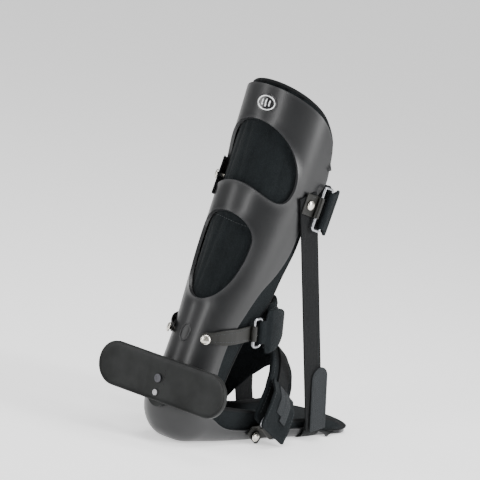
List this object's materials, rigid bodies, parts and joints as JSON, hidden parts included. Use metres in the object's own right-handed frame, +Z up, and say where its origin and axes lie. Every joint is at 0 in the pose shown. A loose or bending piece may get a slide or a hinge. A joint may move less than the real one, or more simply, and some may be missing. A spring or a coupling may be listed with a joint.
{
  "type": "ankle foot orthosis",
  "caption": "Moulded rear-shell ankle foot orthosis with windowed calf cuff, padded liners, ring-closed straps and a pivoting rear stabiliser bar.",
  "frame": {"origin": "on the sole, under the middle of the heel cup", "axes": "+X towards the toes, +Y to the wearer's left, +Z up the leg"},
  "size_m": [0.2852, 0.17, 0.3675],
  "materials": {
    "shell_plastic": "satin-gloss moulded black polypropylene",
    "bar_plastic": "fine-textured black plastic",
    "liner_fabric": "black brushed loop fabric over foam",
    "pad_fabric": "black brushed loop fabric over foam",
    "webbing": "woven black webbing with loop pile",
    "hook_fabric": "dark grey hook-and-loop tape",
    "vinyl": "glossy olive-black vinyl",
    "nickel": "nickel-plated steel",
    "badge_black": "gloss black resin",
    "badge_silver": "silver print"
  },
  "bodies": {
    "brace": {"shell": "shell_plastic", "calf_liner": "liner_fabric", "foot_liner": "liner_fabric", "badge": "badge_black", "badge_emblem": "badge_silver", "bar_bracket": "bar_plastic", "bar_pivot_screw": "nickel", "bracket_screws": "nickel", "upper_rivets": "nickel", "calf_rear_rivet": "nickel", "ankle_rivets": "nickel", "instep_rivets": "nickel", "calf_chafe_tab": "vinyl", "calf_strap": "webbing", "calf_pad": "pad_fabric", "ankle_chafe_tab": "vinyl", "ankle_tab_left": "vinyl", "ankle_strap": "webbing", "ankle_pad": "pad_fabric", "instep_chafe_tab": "vinyl", "instep_strap": "webbing", "instep_pad": "pad_fabric", "tension_strap_right": "webbing", "tension_strap_left": "webbing", "toe_stirrup": "webbing"},
    "bar": {"stabiliser_bar": "bar_plastic", "bar_lock_screw": "nickel", "bar_lock_nut": "nickel"},
    "calf_ring": {"calf_ring": "nickel"},
    "calf_tab": {"calf_hook_tab": "hook_fabric"},
    "ankle_ring": {"ankle_ring": "nickel"},
    "ankle_tab": {"ankle_hook_tab": "hook_fabric"},
    "instep_ring": {"instep_ring": "nickel", "instep_hook_tab": "hook_fabric"},
    "instep_flap": {"instep_flap": "pad_fabric"},
    "toe_tab_right": {"toe_hook_tab_right": "hook_fabric"},
    "toe_tab_left": {"toe_hook_tab_left": "hook_fabric"}
  },
  "joints": [
    {"name": "bar_swing", "type": "hinge", "parent": "brace", "child": "bar", "pos_m": [-0.0376, 0, 0.0645], "axis": [-0.9962, 0, 0.0872], "range_deg": [-20, 20]},
    {"name": "calf_ring_pivot", "type": "hinge", "parent": "brace", "child": "calf_ring", "pos_m": [0.0944, -0.05644, 0.247], "axis": [-0.2689, 0, -0.9632], "range_deg": [0, 30]},
    {"name": "calf_tab_peel", "type": "hinge", "parent": "calf_ring", "child": "calf_tab", "pos_m": [0.10595, -0.05644, 0.24377], "axis": [-0.2689, 0, -0.9632], "range_deg": [0, 100]},
    {"name": "ankle_ring_pivot", "type": "hinge", "parent": "brace", "child": "ankle_ring", "pos_m": [0.04637, -0.0395, 0.11569], "axis": [0.0993, 0, -0.9951], "range_deg": [0, 20]},
    {"name": "ankle_tab_peel", "type": "hinge", "parent": "ankle_ring", "child": "ankle_tab", "pos_m": [0.05632, -0.0395, 0.11669], "axis": [0.0993, 0, -0.9951], "range_deg": [0, 100]},
    {"name": "instep_ring_pivot", "type": "hinge", "parent": "brace", "child": "instep_ring", "pos_m": [0.07719, -0.05109, 0.01486], "axis": [0.7934, 0, -0.6088], "range_deg": [0, 2]},
    {"name": "instep_flap_lift", "type": "hinge", "parent": "brace", "child": "instep_flap", "pos_m": [0.10666, -0.0395, 0.05325], "axis": [-0.7934, 0, 0.6088], "range_deg": [0, 85]},
    {"name": "toe_tab_right_peel", "type": "hinge", "parent": "brace", "child": "toe_tab_right", "pos_m": [0.157, -0.05059, 0.011], "axis": [0.9848, 0, 0.1736], "range_deg": [0, 90]},
    {"name": "toe_tab_left_peel", "type": "hinge", "parent": "brace", "child": "toe_tab_left", "pos_m": [0.157, 0.05059, 0.011], "axis": [-0.9848, 0, -0.1736], "range_deg": [0, 90]}
  ]
}
